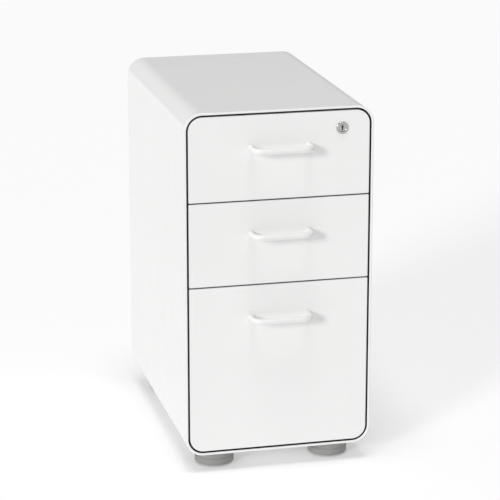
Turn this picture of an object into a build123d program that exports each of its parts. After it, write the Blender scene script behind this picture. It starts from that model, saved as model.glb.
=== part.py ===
from build123d import *
import os

# Rolling pedestal cabinet: two box drawers over one file drawer, in a wrapped
# steel shell with rounded corners, on four hooded twin-wheel casters.
# Millimetres, +Z up. The drawers open towards -Y. The origin is on the floor,
# under the middle of the whole part with its handles.

os.makedirs("parts", exist_ok=True)

# ---- Driving dimensions -----------------------------------------------------

width = 315.0
height = 610.0
body_depth = 480.0
ground_gap = 31.0
corner_radius = 30.0

shell_sheet = 1.2
rim_width = 4.0
rim_depth = 9.0
reveal_gap = 3.2
drawer_gap = 2.2
upper_gap_z = 461.9
lower_gap_z = 320.4

front_sheet = 1.2
front_depth = 16.0
small_corner = 1.5
box_sheet = 1.0
box_half_width = 132.3
box_depth = 410.0
hem_width = 3.0
hem_height = 7.0
rolled_edge = 0.8

slide_plane_x = 145.0
slide_length = 412.0
slide_height = 45.0
slide_sheet = 1.2
slide_stop_length = 5.5

handle_reach = 36.0
handle_rod = 10.0
handle_centres = 96.0
handle_bend = 14.0
handle_drop = 54.0

lock_inset = 48.0
lock_drop = 30.0
lock_throw = 8.5

caster_from_side = 59.0
caster_from_front = 53.0
caster_from_back = 50.0
hood_radius = 33.0
wheel_radius = 17.0
wheel_trail = 6.0

# ---- Places worked out from them --------------------------------------------

front_y = -(body_depth - handle_reach) / 2
back_y = front_y + body_depth
shell_mid_z = (ground_gap + height) / 2
shell_height = height - ground_gap
inner_half_width = width / 2 - shell_sheet
floor_z = ground_gap + shell_sheet

front_back_y = front_y + front_depth
front_half_width = width / 2 - rim_width - reveal_gap
front_corner = corner_radius - rim_width - reveal_gap
fronts_bottom = ground_gap + rim_width + reveal_gap
fronts_top = height - rim_width - reveal_gap

box_mid_y = front_back_y + box_depth / 2
slide_front_y = front_back_y + 6.0
slide_back_y = slide_front_y + slide_length

upright_width = 30.0
upright_sheet = 1.5
front_upright_y = front_y + 45.0
rear_upright_y = back_y - 68.0
upright_bottom = ground_gap + corner_radius + 2.0
upright_top = height - corner_radius - 2.0

lock_x = front_half_width + reveal_gap / 2 - lock_inset
lock_z = fronts_top + reveal_gap / 2 - lock_drop
lock_back_y = front_back_y + 3.5

caster_x = width / 2 - caster_from_side
caster_points = [
    (side * caster_x, y)
    for y in (front_y + caster_from_front, back_y - caster_from_back)
    for side in (-1, 1)
]
caster_names = ["front_left", "front_right", "rear_left", "rear_right"]

# Each drawer: the ends of its front, its box's floor and height, its slides'
# middle height, and the corner radii at the bottom and top of its front.
drawers = {
    "top": dict(
        low=upper_gap_z + drawer_gap / 2, high=fronts_top, box_floor=472.0, box_height=82.0,
        slide_z=500.0, low_corner=small_corner, high_corner=front_corner,
    ),
    "middle": dict(
        low=lower_gap_z + drawer_gap / 2, high=upper_gap_z - drawer_gap / 2,
        box_floor=330.0, box_height=104.0,
        slide_z=358.0, low_corner=small_corner, high_corner=small_corner,
    ),
    "file": dict(
        low=fronts_bottom, high=lower_gap_z - drawer_gap / 2, box_floor=60.0, box_height=216.0,
        slide_z=92.0, low_corner=front_corner, high_corner=small_corner,
    ),
}


def facing_plane(y):
    """A plane at depth y that looks forwards: local x is X and local y is Z."""
    return Plane.XZ.offset(-y)


def write(piece, name):
    piece.part.label = name
    export_step(piece.part, f"parts/{name}.step")


# ---- Shell and frame --------------------------------------------------------

back_flange = 14.0
back_plate_y = back_y - 4.0
back_sheet = 1.0
back_screw_inset = 7.0
back_screw_hole = 1.8
back_screw_radius = 1.6
back_screw_length = 6.0
back_screw_head = 3.5
back_screw_head_height = 2.0
back_screw_x = inner_half_width - back_screw_inset
back_screw_z = inner_half_width + 50.0
back_screw_points = [
    (side * back_screw_x, shell_mid_z + step * back_screw_z)
    for side in (-1, 1)
    for step in (-1, 0, 1)
]


def shell_outline(inset):
    with Locations((0, shell_mid_z)):
        RectangleRounded(width - 2 * inset, shell_height - 2 * inset, corner_radius - inset)


caster_hole_radius = hood_radius + 1.5
caster_hole_reach = 8.0

with BuildPart() as outer_shell:
    with BuildSketch(facing_plane(front_y)):
        shell_outline(0)
    extrude(amount=-body_depth)
    with BuildSketch(facing_plane(front_y)):
        shell_outline(rim_width)
    extrude(amount=-rim_depth, mode=Mode.SUBTRACT)
    with BuildSketch(facing_plane(front_y + rim_depth)):
        shell_outline(shell_sheet)
    extrude(amount=-(body_depth - rim_depth), mode=Mode.SUBTRACT)
    # The sheet turns in at the back, to carry the back panel.
    with BuildSketch(facing_plane(back_plate_y - shell_sheet)):
        shell_outline(shell_sheet)
        with Locations((0, shell_mid_z)):
            RectangleRounded(
                2 * (inner_half_width - back_flange),
                shell_height - 2 * (shell_sheet + back_flange),
                corner_radius - shell_sheet - back_flange,
                mode=Mode.SUBTRACT,
            )
    extrude(amount=-shell_sheet)
    with BuildSketch(facing_plane(back_plate_y)):
        with Locations(*back_screw_points):
            Circle(back_screw_hole)
    extrude(amount=shell_sheet, mode=Mode.SUBTRACT)
    # Round openings in the floor let the casters stand up inside the shell.
    with BuildSketch(Plane.XY.offset(ground_gap)):
        with Locations(*caster_points):
            Circle(caster_hole_radius)
    extrude(amount=caster_hole_reach, mode=Mode.SUBTRACT)
    fillet(outer_shell.faces().sort_by(Axis.Y)[0].edges(), rolled_edge)
write(outer_shell, "outer_shell")

back_plate_gap = 0.3

with BuildPart() as back_panel:
    with BuildSketch(facing_plane(back_plate_y)):
        shell_outline(shell_sheet + back_plate_gap)
        with Locations(*back_screw_points):
            Circle(back_screw_hole, mode=Mode.SUBTRACT)
    extrude(amount=-back_sheet)
write(back_panel, "back_panel")

with BuildPart() as back_panel_screws:
    with BuildSketch(facing_plane(back_plate_y + back_sheet)):
        with Locations(*back_screw_points):
            Circle(back_screw_radius)
    extrude(amount=back_screw_length)
    with BuildSketch(facing_plane(back_plate_y + back_sheet)):
        with Locations(*back_screw_points):
            Circle(back_screw_head)
    extrude(amount=-back_screw_head_height)
    fillet(back_panel_screws.faces().sort_by(Axis.Y)[-1].edges(), 0.3 * back_screw_head_height)
write(back_panel_screws, "back_panel_screws")


slide_screw_radius = 2.0
slide_screw_hole = slide_screw_radius + 0.1


def uprights(name, mid_y):
    """A pair of open channels welded to the shell's side walls."""
    with BuildPart() as pair:
        with BuildSketch(Plane.XY.offset(upright_bottom)):
            with Locations(((slide_plane_x + inner_half_width) / 2, mid_y)):
                Rectangle(inner_half_width - slide_plane_x, upright_width)
            with Locations(((slide_plane_x + upright_sheet + inner_half_width) / 2, mid_y)):
                Rectangle(
                    inner_half_width - slide_plane_x - upright_sheet,
                    upright_width - 2 * upright_sheet,
                    mode=Mode.SUBTRACT,
                )
        extrude(amount=upright_top - upright_bottom)
        with BuildSketch(Plane.YZ.offset(slide_plane_x)):
            with Locations(*[(mid_y, drawer["slide_z"]) for drawer in drawers.values()]):
                Circle(slide_screw_hole)
        extrude(amount=upright_sheet, mode=Mode.SUBTRACT)
        mirror(about=Plane.YZ)
    write(pair, name)


uprights("front_uprights", front_upright_y)
uprights("rear_uprights", rear_upright_y)

channel_top = ground_gap + 15.0
channel_sheet = 1.5
channel_half_width = hood_radius + 2.5
channel_foot = 8.0
channel_end_gap = 0.2
stem_radius = 4.0
stem_hole_radius = stem_radius + 0.2


def base_channel(name, mid_y):
    """A hat channel across the floor that carries two casters."""
    with BuildPart() as channel:
        with BuildSketch(Plane.YZ):
            with Locations((mid_y, (floor_z + channel_top) / 2)):
                Rectangle(2 * channel_half_width, channel_top - floor_z)
            with Locations((mid_y, (floor_z + channel_top - channel_sheet) / 2)):
                Rectangle(
                    2 * (channel_half_width - channel_sheet),
                    channel_top - channel_sheet - floor_z,
                    mode=Mode.SUBTRACT,
                )
            for side in (-1, 1):
                foot_y = mid_y + side * (channel_half_width + (channel_foot - channel_sheet) / 2)
                with Locations((foot_y, floor_z + channel_sheet / 2)):
                    Rectangle(channel_foot + channel_sheet, channel_sheet)
        extrude(amount=width / 2, both=True)
        # Its ends follow the shell's rounded corners.
        reach = channel_half_width + channel_foot
        with BuildSketch(facing_plane(mid_y - reach)):
            with Locations((0, shell_mid_z)):
                RectangleRounded(
                    2 * (inner_half_width - channel_end_gap),
                    shell_height - 2 * shell_sheet,
                    corner_radius - shell_sheet - channel_end_gap,
                )
        extrude(amount=-2 * reach, mode=Mode.INTERSECT)
        with BuildSketch(Plane.XY.offset(channel_top)):
            with Locations((-caster_x, mid_y), (caster_x, mid_y)):
                Circle(stem_hole_radius)
        extrude(amount=-channel_sheet, mode=Mode.SUBTRACT)
    write(channel, name)


base_channel("base_channel_front", front_y + caster_from_front)
base_channel("base_channel_rear", back_y - caster_from_back)

weight_mid_y = 105.0
weight_width = 220.0
weight_depth = 100.0
weight_height = 20.0

with BuildPart() as counterweight:
    with BuildSketch(Plane.XY.offset(floor_z)):
        with Locations((0, weight_mid_y)):
            RectangleRounded(weight_width, weight_depth, 4.0)
    extrude(amount=weight_height)
    chamfer(counterweight.faces().sort_by(Axis.Z)[-1].edges(), 1.5)
write(counterweight, "counterweight")

# ---- Drawer slides ----------------------------------------------------------

middle_web_x = slide_plane_x - 4.2
inner_web_x = box_half_width
middle_height = 34.0
inner_height = 25.0
outer_lip = 10.0
middle_lip = 5.8
inner_lip = 6.2
middle_front_gap = 1.0
stop_gap = 0.4
stop_height = 20.0
slide_screw_length = 7.0
slide_screw_head = 4.0
slide_screw_head_height = 1.8
stop_y = slide_back_y - slide_stop_length
slide_screw_y = [front_upright_y, rear_upright_y]


def slide_pair(name, web_x, mouth_x, mid_z, member_height, y_from, y_to, screw_holes=False):
    """One channel-shaped slide member on each side of a drawer."""
    sheet = slide_sheet if mouth_x < web_x else -slide_sheet
    with BuildPart() as pair:
        with BuildSketch(facing_plane(y_from)):
            with Locations((web_x - sheet / 2, mid_z)):
                Rectangle(slide_sheet, member_height)
            flange_z = (member_height - slide_sheet) / 2
            with Locations(*[((web_x + mouth_x) / 2, mid_z + end * flange_z) for end in (-1, 1)]):
                Rectangle(abs(web_x - mouth_x), slide_sheet)
        extrude(amount=-(y_to - y_from))
        if screw_holes:
            with BuildSketch(Plane.YZ.offset(slide_plane_x)):
                with Locations(*[(y, mid_z) for y in slide_screw_y]):
                    Circle(slide_screw_hole)
            extrude(amount=-slide_sheet, mode=Mode.SUBTRACT)
        mirror(about=Plane.YZ)
    write(pair, name)


for drawer_name, drawer in drawers.items():
    mid_z = drawer["slide_z"]
    slide_pair(
        f"slide_outer_{drawer_name}", slide_plane_x, slide_plane_x - outer_lip, mid_z,
        slide_height, slide_front_y, slide_back_y, screw_holes=True,
    )
    slide_pair(
        f"slide_middle_{drawer_name}", middle_web_x, middle_web_x - middle_lip, mid_z,
        middle_height, slide_front_y + middle_front_gap, stop_y - stop_gap,
    )
    slide_pair(
        f"slide_inner_{drawer_name}", inner_web_x, inner_web_x + inner_lip, mid_z,
        inner_height, slide_front_y, stop_y - stop_gap,
    )

stop_from_x = inner_web_x + 0.7
stop_to_x = slide_plane_x - slide_sheet

with BuildPart() as slide_stops:
    for drawer in drawers.values():
        with BuildSketch(facing_plane(stop_y)):
            with Locations(((stop_from_x + stop_to_x) / 2, drawer["slide_z"])):
                RectangleRounded(stop_to_x - stop_from_x, stop_height, 2.0)
        extrude(amount=-slide_stop_length)
    mirror(about=Plane.YZ)
write(slide_stops, "slide_stops")

with BuildPart() as slide_screws:
    slide_screw_points = [(y, drawer["slide_z"]) for drawer in drawers.values() for y in slide_screw_y]
    with BuildSketch(Plane.YZ.offset(slide_plane_x - slide_sheet)):
        with Locations(*slide_screw_points):
            Circle(slide_screw_radius)
    extrude(amount=slide_screw_length)
    with BuildSketch(Plane.YZ.offset(slide_plane_x - slide_sheet)):
        with Locations(*slide_screw_points):
            Circle(slide_screw_head)
    extrude(amount=-slide_screw_head_height)
    mirror(about=Plane.YZ)
write(slide_screws, "slide_screws")

# ---- Drawers ----------------------------------------------------------------

catch_rise = 35.0
catch_height = 10.0
catch_sheet = 1.5
catch_root = 0.5
catch_y = front_back_y + 9.5
catch_reach = slide_plane_x - 1.5

handle_screw_radius = 2.0
handle_screw_head = 4.0
handle_screw_head_height = 2.4
handle_screw_length = front_sheet + 10.0
handle_tap_depth = 12.0

barrel_radius = 8.5
barrel_hole = barrel_radius + 0.1
plate_lock_hole = barrel_radius + 1.0


def front_outline(drawer, inset):
    """The outline of a drawer front, drawn in from its edges by inset."""
    with BuildSketch(mode=Mode.PRIVATE) as outline:
        with Locations((0, (drawer["low"] + drawer["high"]) / 2)):
            Rectangle(2 * (front_half_width - inset), drawer["high"] - drawer["low"] - 2 * inset)
        fillet(outline.vertices().group_by(Axis.Y)[0], max(drawer["low_corner"] - inset, 0.3))
        fillet(outline.vertices().group_by(Axis.Y)[-1], max(drawer["high_corner"] - inset, 0.3))
    add(outline.sketch)


def handle_points(drawer):
    z = drawer["high"] - handle_drop
    return [(-handle_centres / 2, z), (handle_centres / 2, z)]


def drawer_front(name, drawer, has_lock):
    """The folded front pan, open at its back."""
    with BuildPart() as pan:
        with BuildSketch(facing_plane(front_y)):
            front_outline(drawer, 0)
        extrude(amount=-front_depth)
        with BuildSketch(facing_plane(front_y + front_sheet)):
            front_outline(drawer, front_sheet)
        extrude(amount=-(front_depth - front_sheet), mode=Mode.SUBTRACT)
        fillet(pan.faces().sort_by(Axis.Y)[0].edges(), rolled_edge)
        with BuildSketch(facing_plane(front_y)):
            with Locations(*handle_points(drawer)):
                Circle(handle_screw_radius + 0.2)
            if has_lock:
                with Locations((lock_x, lock_z)):
                    Circle(barrel_hole)
        extrude(amount=-front_sheet, mode=Mode.SUBTRACT)
    write(pan, f"drawer_front_{name}")


def inner_front(name, drawer, has_lock):
    """The plate that closes the back of the front pan."""
    with BuildPart() as plate:
        with BuildSketch(facing_plane(front_back_y - front_sheet)):
            front_outline(drawer, front_sheet + 0.1)
            if has_lock:
                with Locations((lock_x, lock_z)):
                    Circle(plate_lock_hole, mode=Mode.SUBTRACT)
        extrude(amount=-front_sheet)
    write(plate, f"inner_front_{name}")


def drawer_box(name, drawer):
    """The folded drawer body, with a hemmed top edge and the lock's catch on its right side."""
    floor, wall = drawer["box_floor"], drawer["box_height"]
    with BuildPart() as box:
        with BuildSketch(Plane.XY.offset(floor)):
            with Locations((0, box_mid_y)):
                RectangleRounded(2 * box_half_width, box_depth, 2.0)
        extrude(amount=wall)
        with BuildSketch(Plane.XY.offset(floor + box_sheet)):
            with Locations((0, box_mid_y)):
                RectangleRounded(2 * (box_half_width - box_sheet), box_depth - 2 * box_sheet, 1.0)
        extrude(amount=wall - box_sheet - hem_height, mode=Mode.SUBTRACT)
        with BuildSketch(Plane.XY.offset(floor + wall - hem_height)):
            with Locations((0, box_mid_y)):
                RectangleRounded(2 * (box_half_width - hem_width), box_depth - 2 * hem_width, 1.0)
        extrude(amount=hem_height, mode=Mode.SUBTRACT)
        fillet(box.faces().sort_by(Axis.Z)[-1].edges(), 0.6)
        with BuildSketch(Plane.XY.offset(drawer["slide_z"] + catch_rise)):
            with Locations(((box_half_width - 2 * catch_root + catch_reach) / 2, catch_y)):
                Rectangle(catch_reach - box_half_width + 2 * catch_root, catch_sheet)
        extrude(amount=catch_height)
    write(box, f"drawer_box_{name}")


def handle(name, drawer):
    """A round-rod bow handle, tapped at both ends."""
    reach = front_y - handle_reach + handle_rod / 2
    half = handle_centres / 2
    z = drawer["high"] - handle_drop
    with BuildPart() as pull:
        with BuildLine(Plane.XY.offset(z)) as route:
            FilletPolyline(
                (-half, front_y), (-half, reach), (half, reach), (half, front_y), radius=handle_bend
            )
        with BuildSketch(Plane(origin=route.line @ 0, z_dir=route.line % 0)):
            Circle(handle_rod / 2)
        sweep()
        with BuildSketch(facing_plane(front_y)):
            with Locations(*handle_points(drawer)):
                Circle(handle_screw_radius + 0.05)
        extrude(amount=handle_tap_depth, mode=Mode.SUBTRACT)
    write(pull, f"handle_{name}")

    with BuildPart() as screws:
        with BuildSketch(facing_plane(front_y + front_sheet)):
            with Locations(*handle_points(drawer)):
                Circle(handle_screw_radius)
        extrude(amount=handle_screw_length)
        with BuildSketch(facing_plane(front_y + front_sheet)):
            with Locations(*handle_points(drawer)):
                Circle(handle_screw_head)
        extrude(amount=-handle_screw_head_height)
    write(screws, f"handle_screws_{name}")


for drawer_name, drawer in drawers.items():
    has_lock = drawer_name == "top"
    drawer_front(drawer_name, drawer, has_lock)
    inner_front(drawer_name, drawer, has_lock)
    drawer_box(drawer_name, drawer)
    handle(drawer_name, drawer)

# Two bars hook over the file drawer's side walls, one folder's width apart.
rail_centres = 318.0
rail_sheet = 3.0
rail_height = 14.0
rail_lap = 2.0
rail_side_gap = 0.3
rail_lap_inset = 0.5
rail_top = drawers["file"]["box_floor"] + drawers["file"]["box_height"]

with BuildPart() as file_rails:
    for rail_y in (box_mid_y - rail_centres / 2, box_mid_y + rail_centres / 2):
        with BuildSketch(facing_plane(rail_y - rail_sheet / 2)):
            with Locations((0, rail_top - rail_height / 2)):
                Rectangle(2 * (box_half_width - hem_width - rail_side_gap), rail_height)
            with Locations((0, rail_top + rail_lap / 2)):
                Rectangle(2 * (box_half_width - rail_lap_inset), rail_lap)
        extrude(amount=-rail_sheet)
write(file_rails, "file_rails")

# ---- Lock -------------------------------------------------------------------

ring_radius = 10.0
ring_height = 2.0
plug_radius = 6.0
plug_proud = 1.4
key_slot_height = 8.4
key_slot_width = 1.9
key_slot_depth = 11.0
nut_radius = 12.5
nut_height = 3.5
cam_radius = 12.0
cam_sheet = 2.0
cam_screw_radius = 1.7
cam_screw_head = 3.5
cam_screw_head_height = 2.0
cam_screw_length = cam_sheet + 5.0
cam_pin_radius = 2.5
cam_pin_length = 6.0
pin_offset = lock_throw * 0.5**0.5
arm_bottom = lock_z - pin_offset + cam_pin_radius + 0.3

with BuildPart() as lock_housing:
    with BuildSketch(facing_plane(front_y)):
        with Locations((lock_x, lock_z)):
            Circle(barrel_radius)
    extrude(amount=-(lock_back_y - front_y - 0.5))
    with BuildSketch(facing_plane(front_y)):
        with Locations((lock_x, lock_z)):
            Circle(ring_radius)
    extrude(amount=ring_height)
    fillet(lock_housing.faces().sort_by(Axis.Y)[0].edges(), 0.7)
    with BuildSketch(facing_plane(front_y - ring_height)):
        with Locations((lock_x, lock_z)):
            Circle(plug_radius + 0.05)
    extrude(amount=-(lock_back_y - front_y + ring_height), mode=Mode.SUBTRACT)
write(lock_housing, "lock_housing")

with BuildPart() as lock_nut:
    with BuildSketch(facing_plane(front_y + front_sheet)):
        with Locations((lock_x, lock_z)):
            RegularPolygon(radius=nut_radius, side_count=6)
            Circle(barrel_radius + 0.05, mode=Mode.SUBTRACT)
    extrude(amount=-nut_height)
write(lock_nut, "lock_nut")

with BuildPart() as lock_plug:
    with BuildSketch(facing_plane(front_y - plug_proud)):
        with Locations((lock_x, lock_z)):
            Circle(plug_radius)
    extrude(amount=-(lock_back_y - front_y + plug_proud))
    fillet(lock_plug.faces().sort_by(Axis.Y)[0].edges(), 0.4)
    with BuildSketch(facing_plane(front_y - plug_proud)):
        with Locations((lock_x, lock_z)):
            SlotOverall(key_slot_height, key_slot_width, rotation=90)
    extrude(amount=-key_slot_depth, mode=Mode.SUBTRACT)
    with BuildSketch(facing_plane(lock_back_y)):
        with Locations((lock_x, lock_z)):
            Circle(cam_screw_radius + 0.05)
    extrude(amount=cam_screw_length - cam_sheet + 1.5, mode=Mode.SUBTRACT)
write(lock_plug, "lock_plug")

with BuildPart() as lock_cam:
    with BuildSketch(facing_plane(lock_back_y)):
        with Locations((lock_x, lock_z)):
            Circle(cam_radius)
            Circle(cam_screw_radius + 0.15, mode=Mode.SUBTRACT)
    extrude(amount=-cam_sheet)
    with BuildSketch(facing_plane(lock_back_y + cam_sheet)):
        with Locations((lock_x + pin_offset, lock_z - pin_offset)):
            Circle(cam_pin_radius)
    extrude(amount=-cam_pin_length)
write(lock_cam, "lock_cam")

with BuildPart() as lock_cam_screw:
    with BuildSketch(facing_plane(lock_back_y + cam_sheet)):
        with Locations((lock_x, lock_z)):
            Circle(cam_screw_radius)
    extrude(amount=cam_screw_length)
    with BuildSketch(facing_plane(lock_back_y + cam_sheet)):
        with Locations((lock_x, lock_z)):
            Circle(cam_screw_head)
    extrude(amount=-cam_screw_head_height)
write(lock_cam_screw, "lock_cam_screw")

bar_x = slide_plane_x + 2.5
bar_sheet = 3.0
bar_front_y = front_back_y + 2.5
bar_back_y = front_upright_y - upright_width / 2 - 1.5
bar_mid_y = (bar_front_y + bar_back_y) / 2
bar_bottom = 80.0
arm_height = 10.0
arm_sheet = 3.0
arm_start_x = lock_x + 3.0
arm_back_y = lock_back_y + cam_sheet + cam_pin_length
hook_gap = 1.0
hook_start_x = slide_plane_x - 9.0
hook_mid_y = bar_front_y + 2.0

with BuildPart() as lock_bar:
    with BuildSketch(Plane.XY.offset(bar_bottom)):
        with Locations((bar_x + bar_sheet / 2, bar_mid_y)):
            Rectangle(bar_sheet, bar_back_y - bar_front_y)
    extrude(amount=arm_bottom + arm_height - bar_bottom)
    # The arm reaches over the cam's pin.
    with BuildSketch(Plane.XY.offset(arm_bottom)):
        with Locations(((arm_start_x + bar_x) / 2, arm_back_y - arm_sheet / 2)):
            Rectangle(bar_x - arm_start_x, arm_sheet)
    extrude(amount=arm_height)
    # One hook waits under each drawer's catch.
    for drawer in drawers.values():
        catch_bottom = drawer["slide_z"] + catch_rise
        with BuildSketch(Plane.XY.offset(catch_bottom - hook_gap - catch_height)):
            with Locations(((hook_start_x + bar_x) / 2, hook_mid_y)):
                Rectangle(bar_x - hook_start_x, bar_sheet)
        extrude(amount=catch_height)
write(lock_bar, "lock_bar")

guide_gap = 0.4
guide_height = 16.0
guide_wall = 1.5
guide_side_wall = 2.0
guide_levels = [192.0, 432.0]
guide_front_y = bar_front_y - guide_wall
upright_face_y = front_upright_y - upright_width / 2

with BuildPart() as lock_bar_guides:
    for level in guide_levels:
        with BuildSketch(Plane.XY.offset(level)):
            with Locations((bar_x + bar_sheet / 2, (guide_front_y + upright_face_y) / 2)):
                Rectangle(bar_sheet + 2 * guide_side_wall, upright_face_y - guide_front_y)
            with Locations((bar_x + bar_sheet / 2, bar_mid_y)):
                Rectangle(
                    bar_sheet + 2 * guide_gap,
                    bar_back_y - bar_front_y + 2 * guide_gap,
                    mode=Mode.SUBTRACT,
                )
        extrude(amount=guide_height)
write(lock_bar_guides, "lock_bar_guides")

# ---- Casters ----------------------------------------------------------------

hood_bottom = 3.0
hood_top = channel_top - channel_sheet - 4.5
hood_wall = 2.5
hood_crown = 3.0
hood_shoulder = 7.0
groove_bottom = 14.0
groove_height = 1.6
groove_depth = 0.8
stem_bottom = 24.0
stem_length = 32.0
collar_radius = 8.0
collar_height = 4.0
stem_nut_radius = 7.5
stem_nut_height = 6.5
axle_radius = 2.5
axle_half_length = 27.0
rib_half_width = 6.0
rib_length = 34.0
rib_bottom = 9.0
wheel_gap = 0.5
wheel_inner_x = rib_half_width + wheel_gap
wheel_width = 12.2
wheel_outer_x = wheel_inner_x + wheel_width
boss_radius = 5.0
boss_inner_x = wheel_outer_x + wheel_gap
boss_outer_x = hood_radius - 2.0
tread_height = 4.0
hub_radius = 5.5
hub_recess = 3.0


def caster(name, x, y):
    """The swivelling hood, its axle and its two wheels."""
    with BuildPart() as hood:
        with BuildSketch(Plane.XY.offset(hood_bottom)):
            with Locations((x, y)):
                Circle(hood_radius)
        extrude(amount=hood_top - hood_bottom)
        fillet(hood.faces().sort_by(Axis.Z)[-1].edges(), hood_shoulder)
        fillet(hood.faces().sort_by(Axis.Z)[0].edges(), 1.0)
        with BuildSketch(Plane.XY.offset(hood_bottom)):
            with Locations((x, y)):
                Circle(hood_radius - hood_wall)
        extrude(amount=hood_top - hood_bottom - hood_crown, mode=Mode.SUBTRACT)
        # A shallow groove runs round the wall.
        with BuildSketch(Plane.XY.offset(groove_bottom)):
            with Locations((x, y)):
                Circle(hood_radius + 1.0)
                Circle(hood_radius - groove_depth, mode=Mode.SUBTRACT)
        extrude(amount=groove_height, mode=Mode.SUBTRACT)
        # The middle rib holds the stem and the axle, and a boss each side ends it.
        with BuildSketch(Plane.XY.offset(rib_bottom)):
            with Locations((x, y + wheel_trail / 2)):
                Rectangle(2 * rib_half_width, rib_length)
        extrude(amount=hood_top - 2.0 - rib_bottom)
        for side in (-1, 1):
            with BuildSketch(Plane.YZ.offset(x + side * boss_inner_x)):
                with Locations((y + wheel_trail, wheel_radius)):
                    Circle(boss_radius)
            extrude(amount=side * (boss_outer_x - boss_inner_x))
        with BuildSketch(Plane.XY.offset(hood_top)):
            with Locations((x, y)):
                Circle(stem_radius + 0.06)
        extrude(amount=-(hood_top - stem_bottom + 1.0), mode=Mode.SUBTRACT)
        with BuildSketch(Plane.YZ.offset(x)):
            with Locations((y + wheel_trail, wheel_radius)):
                Circle(axle_radius + 0.02)
        extrude(amount=axle_half_length + 0.1, both=True, mode=Mode.SUBTRACT)
    write(hood, f"caster_hood_{name}")

    with BuildPart() as axle:
        with BuildSketch(Plane.YZ.offset(x)):
            with Locations((y + wheel_trail, wheel_radius)):
                Circle(axle_radius)
        extrude(amount=axle_half_length, both=True)
    write(axle, f"caster_axle_{name}")

    for side, wheel_side in ((-1, "left"), (1, "right")):
        with BuildPart() as wheel:
            with BuildSketch(Plane.YZ.offset(x + side * wheel_inner_x)):
                with Locations((y + wheel_trail, wheel_radius)):
                    Circle(wheel_radius)
                    Circle(axle_radius + 0.05, mode=Mode.SUBTRACT)
            extrude(amount=side * wheel_width)
            rims = wheel.edges().filter_by(GeomType.CIRCLE).group_by(SortBy.RADIUS)[-1]
            fillet(rims, 2.0)
            # A ring-shaped recess leaves a hub and a tread on the outer face.
            with BuildSketch(Plane.YZ.offset(x + side * wheel_outer_x)):
                with Locations((y + wheel_trail, wheel_radius)):
                    Circle(wheel_radius - tread_height)
                    Circle(hub_radius, mode=Mode.SUBTRACT)
            extrude(amount=-side * hub_recess, mode=Mode.SUBTRACT)
        write(wheel, f"caster_wheel_{name}_{wheel_side}")


for caster_name, (x, y) in zip(caster_names, caster_points):
    caster(caster_name, x, y)

with BuildPart() as caster_stems:
    with BuildSketch(Plane.XY.offset(stem_bottom)):
        with Locations(*caster_points):
            Circle(stem_radius)
    extrude(amount=stem_length)
    with BuildSketch(Plane.XY.offset(channel_top - channel_sheet)):
        with Locations(*caster_points):
            Circle(collar_radius)
    extrude(amount=-collar_height)
write(caster_stems, "caster_stems")

with BuildPart() as caster_nuts:
    with BuildSketch(Plane.XY.offset(channel_top)):
        with Locations(*caster_points):
            RegularPolygon(radius=stem_nut_radius, side_count=6)
            Circle(stem_radius + 0.05, mode=Mode.SUBTRACT)
    extrude(amount=stem_nut_height)
write(caster_nuts, "caster_nuts")
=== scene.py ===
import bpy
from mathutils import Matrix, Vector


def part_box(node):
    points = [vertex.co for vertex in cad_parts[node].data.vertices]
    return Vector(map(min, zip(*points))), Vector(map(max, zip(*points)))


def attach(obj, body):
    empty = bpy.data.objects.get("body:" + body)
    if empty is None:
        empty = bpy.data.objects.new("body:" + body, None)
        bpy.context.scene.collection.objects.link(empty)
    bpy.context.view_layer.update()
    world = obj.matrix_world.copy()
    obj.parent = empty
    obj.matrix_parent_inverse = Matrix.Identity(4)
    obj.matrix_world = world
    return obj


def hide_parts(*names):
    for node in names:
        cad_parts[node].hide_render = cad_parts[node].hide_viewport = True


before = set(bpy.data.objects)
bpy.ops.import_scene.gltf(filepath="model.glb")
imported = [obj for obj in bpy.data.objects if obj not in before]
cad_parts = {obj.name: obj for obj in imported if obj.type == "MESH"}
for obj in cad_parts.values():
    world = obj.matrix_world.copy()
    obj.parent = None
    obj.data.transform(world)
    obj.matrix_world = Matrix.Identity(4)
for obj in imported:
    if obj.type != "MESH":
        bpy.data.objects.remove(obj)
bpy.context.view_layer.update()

import math

import bmesh
import bpy
from mathutils import Matrix, Vector

# Rolling pedestal cabinet. Metres, +Z up, and the drawers open towards -Y.

MM = 0.001
WHITE = (1.0, 1.0, 1.0, 1.0)
DRAWERS = ("top", "middle", "file")
CASTERS = ("front_left", "front_right", "rear_left", "rear_right")

shell_low, shell_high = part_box("outer_shell")
FRONT_Y = shell_low.y
BACK_Y = shell_high.y
MIDDLE_Z = (shell_low.z + shell_high.z) / 2

SHEET = 1.2 * MM
RIM = 4.0 * MM
RIM_DEPTH = 9.0 * MM
BACK_FLANGE = 14.0 * MM
CORNER = 30.0 * MM
EDGE_ROUND = 1.0 * MM
BACK_EDGE_ROUND = 0.4 * MM
# The rim's inner wall is painted dark as shade from this depth behind its face.
PAINTED_SHADE_DEPTH = 2.0 * MM
CASTER_OPENING_RADIUS = 34.5 * MM
REVEAL = shell_high.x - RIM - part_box("drawer_front_top")[1].x
ARC_STEPS = 18
LEAST_RADIUS = 0.15 * MM
SHARP_ANGLE = math.radians(32)
WELD_DISTANCE = 0.01 * MM


# ---- Mesh helpers -----------------------------------------------------------


def outline(half_width, low, high, low_radius, high_radius, inset=0.0, steps=ARC_STEPS):
    """Points (x, z) round a rectangle with rounded corners, drawn in by inset."""
    half, low, high = half_width - inset, low + inset, high - inset
    low_radius = max(low_radius - inset, LEAST_RADIUS)
    high_radius = max(high_radius - inset, LEAST_RADIUS)
    corners = (
        (half - low_radius, low + low_radius, low_radius, -90),
        (half - high_radius, high - high_radius, high_radius, 0),
        (-half + high_radius, high - high_radius, high_radius, 90),
        (-half + low_radius, low + low_radius, low_radius, 180),
    )
    points = []
    for centre_x, centre_z, radius, start in corners:
        for step in range(steps + 1):
            angle = math.radians(start + 90 * step / steps)
            points.append((centre_x + radius * math.cos(angle), centre_z + radius * math.sin(angle)))
    return points


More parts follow.
